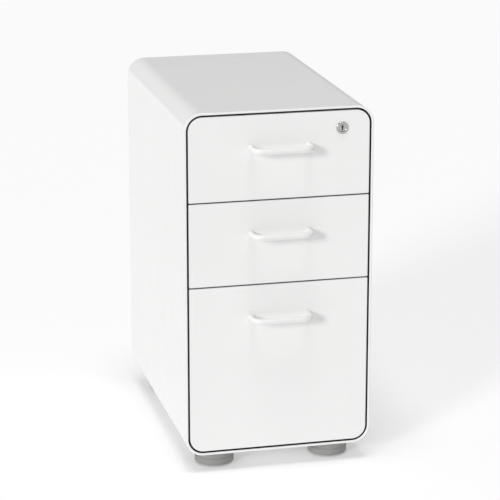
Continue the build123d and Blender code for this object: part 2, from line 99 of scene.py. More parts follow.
def circle(radius, steps):
    """Points (a, b) round a circle at the origin."""
    angles = [2 * math.pi * step / steps for step in range(steps)]
    return [(radius * math.cos(angle), radius * math.sin(angle)) for angle in angles]


def quarter(from_point, to_point, corner, steps=4):
    """Points of a quarter round from one (inset, y) point to another, bulging towards corner."""
    centre = (
        from_point[0] + to_point[0] - corner[0],
        from_point[1] + to_point[1] - corner[1],
    )
    points = []
    for step in range(steps + 1):
        angle = math.pi / 2 * step / steps
        out, along = math.cos(angle), math.sin(angle)
        points.append(
            tuple(
                centre[i] + (from_point[i] - centre[i]) * out + (to_point[i] - centre[i]) * along
                for i in (0, 1)
            )
        )
    return points


def mesh_from_rings(name, rings, closed=False, rub=(), inside=()):
    """Skins a row of equal rings. An open row gets a cap at each end.

    rub marks the rings that get worn, and inside marks the walls of a narrow gap, which the paint colours
    darker as painted shade.
    """
    count = len(rings[0])
    vertices = [point for ring in rings for point in ring]
    faces = []
    last = len(rings) if closed else len(rings) - 1
    for row in range(last):
        here, there = row * count, ((row + 1) % len(rings)) * count
        for i in range(count):
            j = (i + 1) % count
            faces.append((here + i, here + j, there + j, there + i))
    if not closed:
        faces.append(tuple(reversed(range(count))))
        faces.append(tuple(range(last * count, (last + 1) * count)))
    mesh = bpy.data.meshes.new(name)
    mesh.from_pydata([tuple(v) for v in vertices], [], faces)
    for title, marked in (("rub", rub), ("inside", inside)):
        marks = mesh.attributes.new(title, "FLOAT", "POINT")
        values = [float(row in marked) for row in range(len(rings)) for _ in range(count)]
        marks.data.foreach_set("value", values)
    return mesh


def linked(name, data):
    """A new object of a mesh, a light or a camera, in the scene."""
    piece = bpy.data.objects.new(name, data)
    bpy.context.scene.collection.objects.link(piece)
    return piece


def mesh_of(name, work):
    """A new mesh of a finished bmesh."""
    mesh = bpy.data.meshes.new(name)
    work.to_mesh(mesh)
    work.free()
    return mesh


def finished(mesh, name=None):
    """Makes an object of a mesh: outward faces, smooth shading, crisp corners, level flats."""
    work = bmesh.new()
    work.from_mesh(mesh)
    bmesh.ops.remove_doubles(work, verts=work.verts, dist=WELD_DISTANCE)
    bmesh.ops.recalc_face_normals(work, faces=work.faces)
    work.to_mesh(mesh)
    work.free()
    mesh.shade_smooth()
    mesh.set_sharp_from_angle(angle=SHARP_ANGLE)
    piece = linked(name or mesh.name, mesh)
    level = piece.modifiers.new("level", "WEIGHTED_NORMAL")
    level.keep_sharp = True
    return applied(piece)


def plain(mesh):
    """An object of a mesh with outward faces and no shading set, for cutting with."""
    work = bmesh.new()
    work.from_mesh(mesh)
    bmesh.ops.recalc_face_normals(work, faces=work.faces)
    work.to_mesh(mesh)
    work.free()
    return linked(mesh.name, mesh)


def applied(piece):
    """The piece with its modifiers made part of its mesh."""
    graph = bpy.context.evaluated_depsgraph_get()
    mesh = bpy.data.meshes.new_from_object(piece.evaluated_get(graph), depsgraph=graph)
    mesh.name = piece.name
    piece.modifiers.clear()
    piece.data = mesh
    return piece


def lathe(name, profile, centre, axis, steps, closed=False):
    """Turns (radius, along) points round an axis through centre. Radius 0 closes an end."""
    rings = []
    for radius, along in profile:
        ring = []
        for a, b in circle(radius, steps):
            offset = {"X": (along, a, b), "Y": (a, along, b), "Z": (a, b, along)}[axis]
            ring.append(Vector(centre) + Vector(offset))
        rings.append(ring)
    return finished(mesh_from_rings(name, rings, closed=closed))


def cut(piece, cutter):
    """Takes the cutter away from the piece."""
    knife = piece.modifiers.new("cut", "BOOLEAN")
    knife.operation = "DIFFERENCE"
    knife.solver = "EXACT"
    knife.object = cutter
    piece = applied(piece)
    bpy.data.objects.remove(cutter)
    return piece


def dress(piece, material, body, slot, *nodes):
    """Gives a piece its material and its body, and hides the nodes that it stands for. The slot argument is
    not used.
    """
    piece.data.materials.clear()
    piece.data.materials.append(material)
    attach(piece, body)
    if nodes:
        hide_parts(*nodes)
    return piece


# ---- Shader groups ----------------------------------------------------------


def new_group(name, inputs, outputs):
    """An empty shader group. inputs are (name, kind, default) and outputs are (name, kind)."""
    tree = bpy.data.node_groups.new(name, "ShaderNodeTree")
    kinds = {"vector": "NodeSocketVector", "value": "NodeSocketFloat", "colour": "NodeSocketColor"}
    for title, kind, default in inputs:
        socket = tree.interface.new_socket(title, in_out="INPUT", socket_type=kinds[kind])
        if default is not None:
            socket.default_value = default
    for title, kind in outputs:
        tree.interface.new_socket(title, in_out="OUTPUT", socket_type=kinds[kind])
    return tree, tree.nodes.new("NodeGroupInput"), tree.nodes.new("NodeGroupOutput")


def node(tree, kind, link=(), **values):
    """Adds a node, sets its inputs by name or its own properties, and links (output, input name)."""
    made = tree.nodes.new(kind)
    for key, value in values.items():
        title = key.replace("_", " ")
        if hasattr(made, key):
            setattr(made, key, value)
        else:
            made.inputs[title].default_value = value
    for output, title in link:
        tree.links.new(output, made.inputs[title])
    return made


def maths(tree, operation, first, second=0.5, third=0.0):
    """A Math node whose inputs are sockets or numbers."""
    made = tree.nodes.new("ShaderNodeMath")
    made.operation = operation
    for slot_index, value in enumerate((first, second, third)):
        if isinstance(value, (int, float)):
            made.inputs[slot_index].default_value = value
        else:
            tree.links.new(value, made.inputs[slot_index])
    return made.outputs[0]


def make_coat_texture():
    """The soft orange peel of a baked powder coat, with a few finer grains in it."""
    tree, entry, exit_node = new_group(
        "coat_texture",
        [("Vector", "vector", None), ("Peel Size", "value", 0.0016), ("Grain Share", "value", 0.25)],
        [("Height", "value")],
    )
    frequency = maths(tree, "DIVIDE", 1.0, entry.outputs["Peel Size"])
    peel = node(tree, "ShaderNodeTexNoise", [(entry.outputs["Vector"], "Vector"), (frequency, "Scale")],
                Detail=1.0, Roughness=0.45)
    fine_frequency = maths(tree, "MULTIPLY", frequency, 3.7)
    grain = node(tree, "ShaderNodeTexNoise",
                 [(entry.outputs["Vector"], "Vector"), (fine_frequency, "Scale")], Detail=0.0)
    fine = maths(tree, "MULTIPLY", grain.outputs["Fac"], entry.outputs["Grain Share"])
    height = maths(tree, "ADD", peel.outputs["Fac"], fine)
    tree.links.new(height, exit_node.inputs["Height"])
    return tree


def make_drift():
    """Slow change over a surface, from Low to High, for colour and gloss."""
    tree, entry, exit_node = new_group(
        "slow_drift",
        [("Vector", "vector", None), ("Scale", "value", 6.0), ("Low", "value", 0.0), ("High", "value", 1.0)],
        [("Value", "value")],
    )
    cloud = node(tree, "ShaderNodeTexNoise",
                 [(entry.outputs["Vector"], "Vector"), (entry.outputs["Scale"], "Scale")],
                 Detail=3.0, Roughness=0.55)
    spread = node(tree, "ShaderNodeMapRange",
                  [(cloud.outputs["Fac"], "Value"), (entry.outputs["Low"], "To Min"),
                   (entry.outputs["High"], "To Max")], From_Min=0.3, From_Max=0.7)
    tree.links.new(spread.outputs["Result"], exit_node.inputs["Value"])
    return tree


def make_rubbed_edges():
    """A mask of the rounded edges, broken up where hands and boxes have touched them."""
    tree, entry, exit_node = new_group(
        "rubbed_edges",
        [("Vector", "vector", None), ("Amount", "value", 0.5), ("Break Size", "value", 0.012)],
        [("Mask", "value")],
    )
    edge = node(tree, "ShaderNodeAttribute", attribute_name="rub")
    frequency = maths(tree, "DIVIDE", 1.0, entry.outputs["Break Size"])
    breaks = node(tree, "ShaderNodeTexNoise", [(entry.outputs["Vector"], "Vector"), (frequency, "Scale")],
                  Detail=4.0, Roughness=0.6)
    spread = node(tree, "ShaderNodeMapRange", [(breaks.outputs["Fac"], "Value")],
                  From_Min=0.35, From_Max=0.65)
    mask = maths(tree, "MULTIPLY", edge.outputs["Fac"], spread.outputs["Result"])
    tree.links.new(maths(tree, "MULTIPLY", mask, entry.outputs["Amount"]), exit_node.inputs["Mask"])
    return tree


def make_rolled_lines():
    """Fine lines drawn along Y, as rolling leaves on strip steel."""
    tree, entry, exit_node = new_group(
        "rolled_lines",
        [("Vector", "vector", None), ("Line Size", "value", 0.0006), ("Stretch", "value", 60.0)],
        [("Height", "value")],
    )
    frequency = maths(tree, "DIVIDE", 1.0, entry.outputs["Line Size"])
    squeezed = maths(tree, "DIVIDE", 1.0, entry.outputs["Stretch"])
    scale = node(tree, "ShaderNodeCombineXYZ", [(squeezed, "Y")], X=1.0, Z=1.0)
    drawn = node(tree, "ShaderNodeVectorMath", operation="MULTIPLY")
    tree.links.new(entry.outputs["Vector"], drawn.inputs[0])
    tree.links.new(scale.outputs["Vector"], drawn.inputs[1])
    lines = node(tree, "ShaderNodeTexNoise", [(drawn.outputs["Vector"], "Vector"), (frequency, "Scale")],
                 Detail=2.0, Roughness=0.6)
    tree.links.new(lines.outputs["Fac"], exit_node.inputs["Height"])
    return tree


def make_floor_dust():
    """A mask of dust that fades with height above the floor."""
    tree, entry, exit_node = new_group(
        "floor_dust",
        [("Vector", "vector", None), ("Fades By", "value", 0.03), ("Amount", "value", 0.4)],
        [("Mask", "value")],
    )
    place = node(tree, "ShaderNodeSeparateXYZ", [(entry.outputs["Vector"], "Vector")])
    share = maths(tree, "DIVIDE", place.outputs["Z"], entry.outputs["Fades By"])
    fade = node(tree, "ShaderNodeMapRange", [(share, "Value")], To_Min=1.0, To_Max=0.0)
    specks = node(tree, "ShaderNodeTexNoise", [(entry.outputs["Vector"], "Vector")],
                  Scale=900.0, Detail=3.0, Roughness=0.7)
    patchy = node(tree, "ShaderNodeMapRange", [(specks.outputs["Fac"], "Value")],
                  From_Min=0.42, From_Max=0.68)
    mask = maths(tree, "MULTIPLY", fade.outputs["Result"], patchy.outputs["Result"])
    tree.links.new(maths(tree, "MULTIPLY", mask, entry.outputs["Amount"]), exit_node.inputs["Mask"])
    return tree


COAT_TEXTURE = make_coat_texture()
SLOW_DRIFT = make_drift()
RUBBED_EDGES = make_rubbed_edges()
ROLLED_LINES = make_rolled_lines()
FLOOR_DUST = make_floor_dust()


# ---- Materials --------------------------------------------------------------

WORN_SHADE = 0.8
WORN_POLISH = 0.08
DUST_COLOUR = (0.5, 0.48, 0.45)
DUST_DULLING = 0.3
PLASTIC_GLOSS_DRIFT = 0.05
LINE_GLOSS_SPREAD = 0.16


def group(tree, shared, vector, **values):
    """Places a shared group in a material and sets its inputs."""
    made = tree.nodes.new("ShaderNodeGroup")
    made.node_tree = shared
    tree.links.new(vector, made.inputs["Vector"])
    for key, value in values.items():
        made.inputs[key.replace("_", " ")].default_value = value
    return made.outputs[0]


def new_material(name, **values):
    """A material with its Principled shader and its Object coordinates."""
    material = bpy.data.materials.new(name)
    material.use_nodes = True
    tree = material.node_tree
    tree.nodes.clear()
    surface = tree.nodes.new("ShaderNodeBsdfPrincipled")
    output = tree.nodes.new("ShaderNodeOutputMaterial")
    tree.links.new(surface.outputs["BSDF"], output.inputs["Surface"])
    for key, value in values.items():
        surface.inputs[key.replace("_", " ")].default_value = value
    place = tree.nodes.new("ShaderNodeTexCoord").outputs["Object"]
    return material, tree, surface, place


def mixed(tree, mask, low, high):
    """A colour between low and high, which are colours or sockets."""
    made = tree.nodes.new("ShaderNodeMix")
    made.data_type = "RGBA"
    tree.links.new(mask, made.inputs["Factor"])
    for title, value in (("A", low), ("B", high)):
        socket = next(s for s in made.inputs if s.name == title and s.type == "RGBA")
        if isinstance(value, tuple):
            socket.default_value = (*value, 1.0)
        else:
            tree.links.new(value, socket)
    return next(s for s in made.outputs if s.type == "RGBA")


def bump(tree, surface, height, strength, distance):
    """Raises the surface by a height, for shading only."""
    made = tree.nodes.new("ShaderNodeBump")
    made.inputs["Strength"].default_value = strength
    made.inputs["Distance"].default_value = distance
    tree.links.new(height, made.inputs["Height"])
    tree.links.new(made.outputs["Normal"], surface.inputs["Normal"])


def grey(level, warmth=0.0):
    """A grey whose blue is lower by warmth."""
    return (level, level, level - warmth)


def powder_coat(name, colour, shade, gloss_low, gloss_high, peel=0.0016, rub=0.5, painted_gap_shade=grey(0.1)):
    """Baked powder coat on steel. The gap colour is painted shade: a darker colour on the walls of narrow
    gaps.
    """
    material, tree, surface, place = new_material(name, IOR=1.5)
    tone = group(tree, SLOW_DRIFT, place, Scale=5.0)
    worn = group(tree, RUBBED_EDGES, place, Amount=rub)
    body = mixed(tree, tone, colour, shade)
    # Painted shade: rings marked inside, on the walls of narrow gaps, take the darker gap colour in place of
    # the paint.
    gap = node(tree, "ShaderNodeAttribute", attribute_name="inside").outputs["Fac"]
    worn_body = mixed(tree, worn, body, tuple(WORN_SHADE * part for part in colour))
    tree.links.new(mixed(tree, gap, worn_body, painted_gap_shade), surface.inputs["Base Color"])
    gloss = group(tree, SLOW_DRIFT, place, Scale=9.0, Low=gloss_low, High=gloss_high)
    polish = maths(tree, "MULTIPLY_ADD", worn, -WORN_POLISH, gloss)
    tree.links.new(polish, surface.inputs["Roughness"])
    bump(tree, surface, group(tree, COAT_TEXTURE, place, Peel_Size=peel), 0.1, 0.05 * MM)
    return material


def moulded_plastic(name, colour, shade, roughness, grain=0.0005, dust=0.0):
    """Textured moulded plastic, with dust near the floor."""
    material, tree, surface, place = new_material(name, IOR=1.46)
    tone = group(tree, SLOW_DRIFT, place, Scale=40.0)
    dusty = group(tree, FLOOR_DUST, place, Amount=dust)
    body = mixed(tree, tone, colour, shade)
    tree.links.new(mixed(tree, dusty, body, DUST_COLOUR), surface.inputs["Base Color"])
    low, high = roughness - PLASTIC_GLOSS_DRIFT, roughness + PLASTIC_GLOSS_DRIFT
    gloss = group(tree, SLOW_DRIFT, place, Scale=60.0, Low=low, High=high)
    dulled = maths(tree, "MULTIPLY_ADD", dusty, DUST_DULLING, gloss)
    tree.links.new(dulled, surface.inputs["Roughness"])
    texture = group(tree, COAT_TEXTURE, place, Peel_Size=grain, Grain_Share=0.6)
    bump(tree, surface, texture, 0.3, 0.04 * MM)
    return material


def plated_steel(name, colour, tint, roughness, line=0.0006, stretch=60.0):
    """Zinc-plated strip or bar, with rolling lines and a faint change of tint."""
    material, tree, surface, place = new_material(name, Metallic=1.0)
    tone = group(tree, SLOW_DRIFT, place, Scale=25.0)
    tree.links.new(mixed(tree, tone, colour, tint), surface.inputs["Base Color"])
    lines = group(tree, ROLLED_LINES, place, Line_Size=line, Stretch=stretch)
    least = roughness - LINE_GLOSS_SPREAD / 2
    streaky = maths(tree, "MULTIPLY_ADD", lines, LINE_GLOSS_SPREAD, least)
    tree.links.new(streaky, surface.inputs["Roughness"])
    bump(tree, surface, lines, 0.12, 0.04 * MM)
    return material


# The shell coat's gap colour is painted near-black shade for the rim's inner wall.
SHELL_PAINT = powder_coat(
    "shell_powder_coat", grey(0.82, 0.005), grey(0.805, 0.005), 0.17, 0.23, painted_gap_shade=grey(0.03)
)
# The front coat's gap colour is painted mid-grey shade for the fronts' lips in the reveals.
FRONT_PAINT = powder_coat(
    "front_powder_coat", grey(0.815, 0.005), grey(0.80, 0.005), 0.30, 0.37, painted_gap_shade=grey(0.38)
)
# The handles share the fronts' white coat; this copy is painted darker as shade, so that the rods' lit tops
# read no brighter than the fronts.
ROD_PAINT_SHADED = powder_coat("handle_powder_coat", grey(0.77, 0.005), grey(0.755, 0.005), 0.46, 0.52, 0.0012)
BOX_PAINT = powder_coat("drawer_powder_coat", grey(0.76, 0.005), grey(0.73, 0.005), 0.38, 0.46, rub=0.7)
PRIMED = powder_coat("primed_frame", (0.36, 0.37, 0.38), (0.32, 0.33, 0.34), 0.48, 0.58)
HOOD_PLASTIC = moulded_plastic("hood_plastic", grey(0.28, 0.005), grey(0.25, 0.005), 0.42, dust=0.35)
WHEEL_PLASTIC = moulded_plastic("wheel_plastic", grey(0.10), grey(0.085), 0.45, dust=0.7)
GUIDE_PLASTIC = moulded_plastic("guide_plastic", grey(0.03), grey(0.04), 0.5)
STOP_RUBBER = moulded_plastic("stop_rubber", grey(0.02), grey(0.03), 0.75, grain=0.0009)
CAST_IRON = moulded_plastic("painted_iron", grey(0.03), grey(0.045), 0.6, grain=0.002)
# The wafers' near-black colour is painted shade in the key slot.
SHADED_WAFERS = moulded_plastic("key_wafers", grey(0.012), grey(0.02), 0.6, grain=0.0003)
SLIDE_ZINC = plated_steel("slide_zinc", (0.50, 0.52, 0.55), (0.57, 0.57, 0.56), 0.34)
FASTENER_ZINC = plated_steel("fastener_zinc", (0.60, 0.61, 0.63), (0.68, 0.67, 0.64), 0.28, 0.0003, 4.0)
TURNED_STEEL = plated_steel("turned_steel", grey(0.50), grey(0.56), 0.30, 0.0003, 1.0)
LOCK_ZINC = plated_steel("lock_zinc", (0.56, 0.57, 0.58), (0.63, 0.62, 0.60), 0.35)
LOCK_CHROME = plated_steel("lock_chrome", grey(0.52, 0.01), grey(0.46, 0.01), 0.16, 0.0002, 1.0)


# ---- Shell and back ---------------------------------------------------------

shell_half = (shell_high.x - shell_low.x) / 2


def shell_outline(inset):
    """The shell's outline, drawn in by inset."""
    return outline(shell_half, shell_low.z, shell_high.z, CORNER, CORNER, inset)


def ring_at(points, y):
    """The (x, z) points as a ring at y."""
    return [Vector((x, y, z)) for x, z in points]


def drum(name, radius, low, high, centres, steps=64):
    """Upright cylinders at (x, y) centres, for cutting round openings."""
    work = bmesh.new()
    for x, y in centres:
        place = Matrix.Translation((x, y, (low + high) / 2))
        bmesh.ops.create_cone(
            work, cap_ends=True, segments=steps, radius1=radius, radius2=radius,
            depth=high - low, matrix=place,
        )
    return linked(name, mesh_of(name, work))


def hood_centre(caster):
    """The (x, y) about which a caster swivels."""
    low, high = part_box(f"caster_hood_{caster}")
    return (low.x + high.x) / 2, (low.y + high.y) / 2


def make_shell():
    """The wrapped sheet, with its hemmed front rim and the flange that turns in at the back."""
    plate_low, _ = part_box("back_panel")
    flange_y = plate_low.y - SHEET
    profile = (
        quarter((0, FRONT_Y + EDGE_ROUND), (EDGE_ROUND, FRONT_Y), (0, FRONT_Y))
        + quarter((RIM - EDGE_ROUND, FRONT_Y), (RIM, FRONT_Y + EDGE_ROUND), (RIM, FRONT_Y))
        + [(RIM, FRONT_Y + PAINTED_SHADE_DEPTH), (RIM, FRONT_Y + RIM_DEPTH), (SHEET, FRONT_Y + RIM_DEPTH)]
        + [(SHEET, flange_y), (SHEET + BACK_FLANGE, flange_y), (SHEET + BACK_FLANGE, plate_low.y)]
        + [(SHEET, plate_low.y), (SHEET, BACK_Y)]
        + quarter((BACK_EDGE_ROUND, BACK_Y), (0, BACK_Y - BACK_EDGE_ROUND), (0, BACK_Y), 2)
    )
    rings = [ring_at(shell_outline(inset), y) for inset, y in profile]
    # Rings 1 to 3 and 6 to 8 are the rim's rolled edges, and rings 10 and 11 its inner wall, painted near
    # black as shade in the reveal.
    mesh = mesh_from_rings("shell", rings, closed=True, rub=(1, 2, 3, 6, 7, 8), inside=(10, 11))
    centres = [hood_centre(caster) for caster in CASTERS]
    below, above = shell_low.z - MM, shell_low.z + 7 * MM
    openings = drum("caster_openings", CASTER_OPENING_RADIUS, below, above, centres)
    shell = cut(finished(mesh), openings)
    return dress(shell, SHELL_PAINT, "cabinet", "shell_paint", "outer_shell")


def make_back():
    """The back panel, pressed from sheet with a shallow raised field."""
    low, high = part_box("back_panel")
    half = (high.x - low.x) / 2
    radius = CORNER - (low.z - shell_low.z)
    edge, border, ramp, rise = 0.3 * MM, 22.0 * MM, 4.0 * MM, 1.0 * MM
    profile = [(0, low.y), (0, high.y - edge), (edge, high.y), (border, high.y)]
    profile += [(border + ramp / 2, high.y + 0.8 * rise), (border + ramp, high.y + rise)]
    rings = [ring_at(outline(half, low.z, high.z, radius, radius, inset), y) for inset, y in profile]
    panel = finished(mesh_from_rings("back_sheet", rings))
    return dress(panel, SHELL_PAINT, "cabinet", "shell_paint", "back_panel")


# ---- Drawers ----------------------------------------------------------------

BOX_HALF_WIDTH = 132.3 * MM
CATCH_ABOVE_SLIDE = 35.0 * MM
CATCH_FROM_FRONT = 9.5 * MM
CATCH_HEIGHT = 10.0 * MM
CATCH_THICKNESS = 1.5 * MM
CATCH_OVERLAP = 0.5 * MM


def make_front(drawer):
    """The folded front pan: a level face, rolled edges and a lip that turns back."""
    low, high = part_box(f"drawer_front_{drawer}")
    half = (high.x - low.x) / 2
    large, small = CORNER - RIM - REVEAL, 1.5 * MM
    low_radius = large if drawer == "file" else small
    high_radius = large if drawer == "top" else small
    turn, border, lip = 0.9 * MM, 1.5 * MM, 2.2 * MM
    edge = quarter((turn, low.y), (0, low.y + turn), (0, low.y), 5)
    profile = [(turn + border, low.y)] + edge + [(0, low.y + lip), (0, high.y)]
    profile += [(SHEET, high.y), (SHEET, low.y + SHEET)]
    rings = [
        ring_at(outline(half, low.z, high.z, low_radius, high_radius, inset), y) for inset, y in profile
    ]
    # Rings 2 to 5 are the rolled edge, and rings 7 and 8 the lip in the gap behind it, painted mid grey as
    # shade in the reveal.
    pan = finished(mesh_from_rings(f"front_{drawer}", rings, rub=(2, 3, 4, 5), inside=(7, 8)))
    return dress(pan, FRONT_PAINT, f"drawer_{drawer}", "front_paint", f"drawer_front_{drawer}")


def folded_tab(low, high):
    """A small sheet tab between two corners, with its outer corners rounded."""
    turn, steps = 2.0 * MM, 4
    half_z, middle_z = (high.z - low.z) / 2, (high.z + low.z) / 2
    points = [(low.x, middle_z - half_z)]
    for start, sign in ((-90, -1), (0, 1)):
        for step in range(steps + 1):
            angle = math.radians(start + 90 * step / steps)
            x = high.x - turn + turn * math.cos(angle)
            points.append((x, middle_z + sign * (half_z - turn) + turn * math.sin(angle)))
    points.append((low.x, middle_z + half_z))
    return mesh_from_rings("tab", [ring_at(points, y) for y in (low.y, high.y)])


def joined(mesh, extra):
    """One mesh of two, which stay separate shells."""
    work = bmesh.new()
    work.from_mesh(mesh)
    work.from_mesh(extra)
    work.to_mesh(mesh)
    work.free()
    bpy.data.meshes.remove(extra)
    return mesh


def make_box(drawer):
    """The folded drawer body, with a rolled hem round its top and the lock's catch on its right."""
    low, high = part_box(f"drawer_box_{drawer}")
    half = BOX_HALF_WIDTH
    wall, hem, hem_drop, turn, bend = 1.0 * MM, 3.0 * MM, 7.0 * MM, 1.2 * MM, 3.0 * MM
    foot_round, hem_slope, fold = 0.8 * MM, 0.6 * MM, 2 * MM
    middle_y, half_y = (low.y + high.y) / 2, (high.y - low.y) / 2

    def at(inset, z):
        """The body's outline, drawn in by inset, as a ring at height z."""
        points = outline(half, -half_y, half_y, bend, bend, inset, 5)
        return [Vector((x, middle_y + y, z)) for x, y in points]

    worn_low = high.z - turn - MM
    foot = [(foot_round, low.z), (0, low.z + foot_round), (0, worn_low)]
    crest = quarter((0, high.z - turn), (turn, high.z), (0, high.z))
    crest += quarter((hem - turn, high.z), (hem, high.z - turn), (hem, high.z))
    inside = [(hem, worn_low), (hem, high.z - hem_drop), (wall, high.z - hem_drop - hem_slope)]
    inside += [(wall, low.z + wall + fold), (wall + fold, low.z + wall)]
    rings = [at(inset, z) for inset, z in foot + crest + inside]
    mesh = mesh_from_rings(f"box_{drawer}", rings, rub=range(len(foot), len(foot) + len(crest)))
    slide_low, slide_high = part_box(f"slide_inner_{drawer}")
    catch_low = (slide_low.z + slide_high.z) / 2 + CATCH_ABOVE_SLIDE
    catch_y = low.y + CATCH_FROM_FRONT
    tab = folded_tab(
        Vector((half - CATCH_OVERLAP, catch_y - CATCH_THICKNESS / 2, catch_low)),
        Vector((high.x, catch_y + CATCH_THICKNESS / 2, catch_low + CATCH_HEIGHT)),
    )
    box = finished(joined(mesh, tab), f"box_{drawer}")
    return dress(box, BOX_PAINT, f"drawer_{drawer}", "box_paint", f"drawer_box_{drawer}")


# ---- Shapes that follow a rule ----------------------------------------------


class ShapeTree:
    """A Geometry Nodes tree with named inputs, ended by Realize Instances and Set Material."""

    def __init__(self, name, inputs):
        """Starts a tree. inputs are (name, kind), and every tree has a Geometry and a Material input."""
        kinds = {
            "value": "NodeSocketFloat", "count": "NodeSocketInt", "object": "NodeSocketObject",
            "vector": "NodeSocketVector", "material": "NodeSocketMaterial",
        }
        self.tree = bpy.data.node_groups.new(name, "GeometryNodeTree")
        self.tree.interface.new_socket("Geometry", in_out="INPUT", socket_type="NodeSocketGeometry")
        for title, kind in [*inputs, ("Material", "material")]:
            self.tree.interface.new_socket(title, in_out="INPUT", socket_type=kinds[kind])
        self.tree.interface.new_socket("Geometry", in_out="OUTPUT", socket_type="NodeSocketGeometry")
        self.entry = self.tree.nodes.new("NodeGroupInput")
        self.exit = self.tree.nodes.new("NodeGroupOutput")

    def add(self, kind, links=(), **settings):
        """Adds a node with its own settings, and links (value or socket, input name)."""
        made = self.tree.nodes.new(kind)
        for key, value in settings.items():
            setattr(made, key, value)
        for value, title in links:
            self.link(value, made.inputs[title])
        return made

    def link(self, value, socket):
        """Sets an input to a number, or links a socket to it."""
        if isinstance(value, (int, float, bool, tuple)):
            socket.default_value = value
        else:
            self.tree.links.new(value, socket)

    def maths(self, operation, first, second=0.0):
        """A Math node whose inputs are sockets or numbers."""
        made = self.tree.nodes.new("ShaderNodeMath")
        made.operation = operation
        self.link(first, made.inputs[0])
        self.link(second, made.inputs[1])
        return made.outputs[0]

    def end(self, geometry):
        """Ends the tree with one real mesh in the tree's material."""
        real = self.add("GeometryNodeRealizeInstances", [(geometry, "Geometry")])
        painted = self.add(
            "GeometryNodeSetMaterial",
            [(real.outputs["Geometry"], "Geometry"), (self.entry.outputs["Material"], "Material")],
        )
        self.link(painted.outputs["Geometry"], self.exit.inputs["Geometry"])
        return self.tree


def grown(name, tree, **values):
    """A plain mesh piece made by a shape tree with these input values."""
    piece = linked(name, bpy.data.meshes.new(name))
    modifier = piece.modifiers.new("shape", "NODES")
    modifier.node_group = tree
    items = tree.interface.items_tree
    titles = {item.name: item.identifier for item in items if item.in_out == "INPUT"}
    for key, value in values.items():
        modifier[titles[key.replace("_", " ")]] = value
    piece.update_tag()
    bpy.context.view_layer.update()
    return applied(piece)


def placed(piece, matrix):
    """Puts a piece's place into its mesh, so that its object stays at the origin."""
    piece.data.transform(matrix)
    piece.data.update()
    return piece


def make_handle_tree():
    """A round rod along a path with two filleted bends, lying in the XY plane and reaching to -Y."""
    shape = ShapeTree(
        "bow_handle",
        [("Half Span", "value"), ("Reach", "value"), ("Rod Radius", "value"),
         ("Bend Radius", "value"), ("Bend Steps", "count"), ("Rod Sides", "count")],
    )
    inputs = shape.entry.outputs
    corners = shape.add("GeometryNodeMeshLine", [(4, "Count")])
    index = shape.add("GeometryNodeInputIndex").outputs["Index"]
    from_middle = shape.maths("SUBTRACT", index, 1.5)
    side = shape.maths("SIGN", from_middle)
    out = shape.maths("LESS_THAN", shape.maths("ABSOLUTE", from_middle), 1.0)
    across = shape.maths("MULTIPLY", side, inputs["Half Span"])
    along = shape.maths("MULTIPLY", shape.maths("MULTIPLY", out, inputs["Reach"]), -1.0)
    spot = shape.add("ShaderNodeCombineXYZ", [(across, "X"), (along, "Y")])
    route = shape.add(
        "GeometryNodeSetPosition",
        [(corners.outputs["Mesh"], "Geometry"), (spot.outputs["Vector"], "Position")],
    )
    curve = shape.add("GeometryNodeMeshToCurve", [(route.outputs["Geometry"], "Mesh")])
    bent = shape.add(
        "GeometryNodeFilletCurve",
        [(curve.outputs["Curve"], "Curve"), (inputs["Bend Radius"], "Radius"),
         (inputs["Bend Steps"], "Count")],
        mode="POLY",
    )
    section = shape.add(
        "GeometryNodeCurvePrimitiveCircle",
        [(inputs["Rod Radius"], "Radius"), (inputs["Rod Sides"], "Resolution")],
    )
    rod = shape.add(
        "GeometryNodeCurveToMesh",
        [(bent.outputs["Curve"], "Curve"), (section.outputs["Curve"], "Profile Curve"),
         (True, "Fill Caps")],
    )
    return shape.end(rod.outputs["Mesh"])


def make_grid_tree():
    """Copies of one object on a level grid of columns and rows."""
    shape = ShapeTree(
        "fastener_grid",
        [("Fastener", "object"), ("Columns", "count"), ("Rows", "count"),
         ("Width", "value"), ("Height", "value")],
    )
    inputs = shape.entry.outputs
    grid = shape.add(
        "GeometryNodeMeshGrid",
        [(inputs["Columns"], "Vertices X"), (inputs["Rows"], "Vertices Y"),
         (inputs["Width"], "Size X"), (inputs["Height"], "Size Y")],
    )
    fastener = shape.add("GeometryNodeObjectInfo", [(inputs["Fastener"], "Object")])
    copies = shape.add(
        "GeometryNodeInstanceOnPoints",
        [(grid.outputs["Mesh"], "Points"), (fastener.outputs["Geometry"], "Instance")],
    )
    return shape.end(copies.outputs["Instances"])


def make_ball_tree():
    """A row of balls along Y, as a slide's cage holds them."""
    shape = ShapeTree(
        "ball_row",
        [("Balls", "count"), ("Pitch", "value"), ("Ball Radius", "value")],
    )
    inputs = shape.entry.outputs
    step = shape.add("ShaderNodeCombineXYZ", [(inputs["Pitch"], "Y")])
    row = shape.add(
        "GeometryNodeMeshLine", [(inputs["Balls"], "Count"), (step.outputs["Vector"], "Offset")]
    )
    ball = shape.add(
        "GeometryNodeMeshIcoSphere", [(inputs["Ball Radius"], "Radius"), (2, "Subdivisions")]
    )
    smooth = shape.add("GeometryNodeSetShadeSmooth", [(ball.outputs["Mesh"], "Geometry")])
    copies = shape.add(
        "GeometryNodeInstanceOnPoints",
        [(row.outputs["Mesh"], "Points"), (smooth.outputs["Geometry"], "Instance")],
    )
    return shape.end(copies.outputs["Instances"])


HANDLE_TREE = make_handle_tree()
GRID_TREE = make_grid_tree()
BALL_TREE = make_ball_tree()

HANDLE_BEND = 14.0 * MM
SCREW_HEAD_RADIUS = 3.5 * MM
SCREW_SHANK_RADIUS = 1.6 * MM
BALL_PITCH = 9.0 * MM
BALL_CLEARANCE = 0.1 * MM
BALL_ROW_X = 138.5 * MM
BALLS_IN_ROW = 22


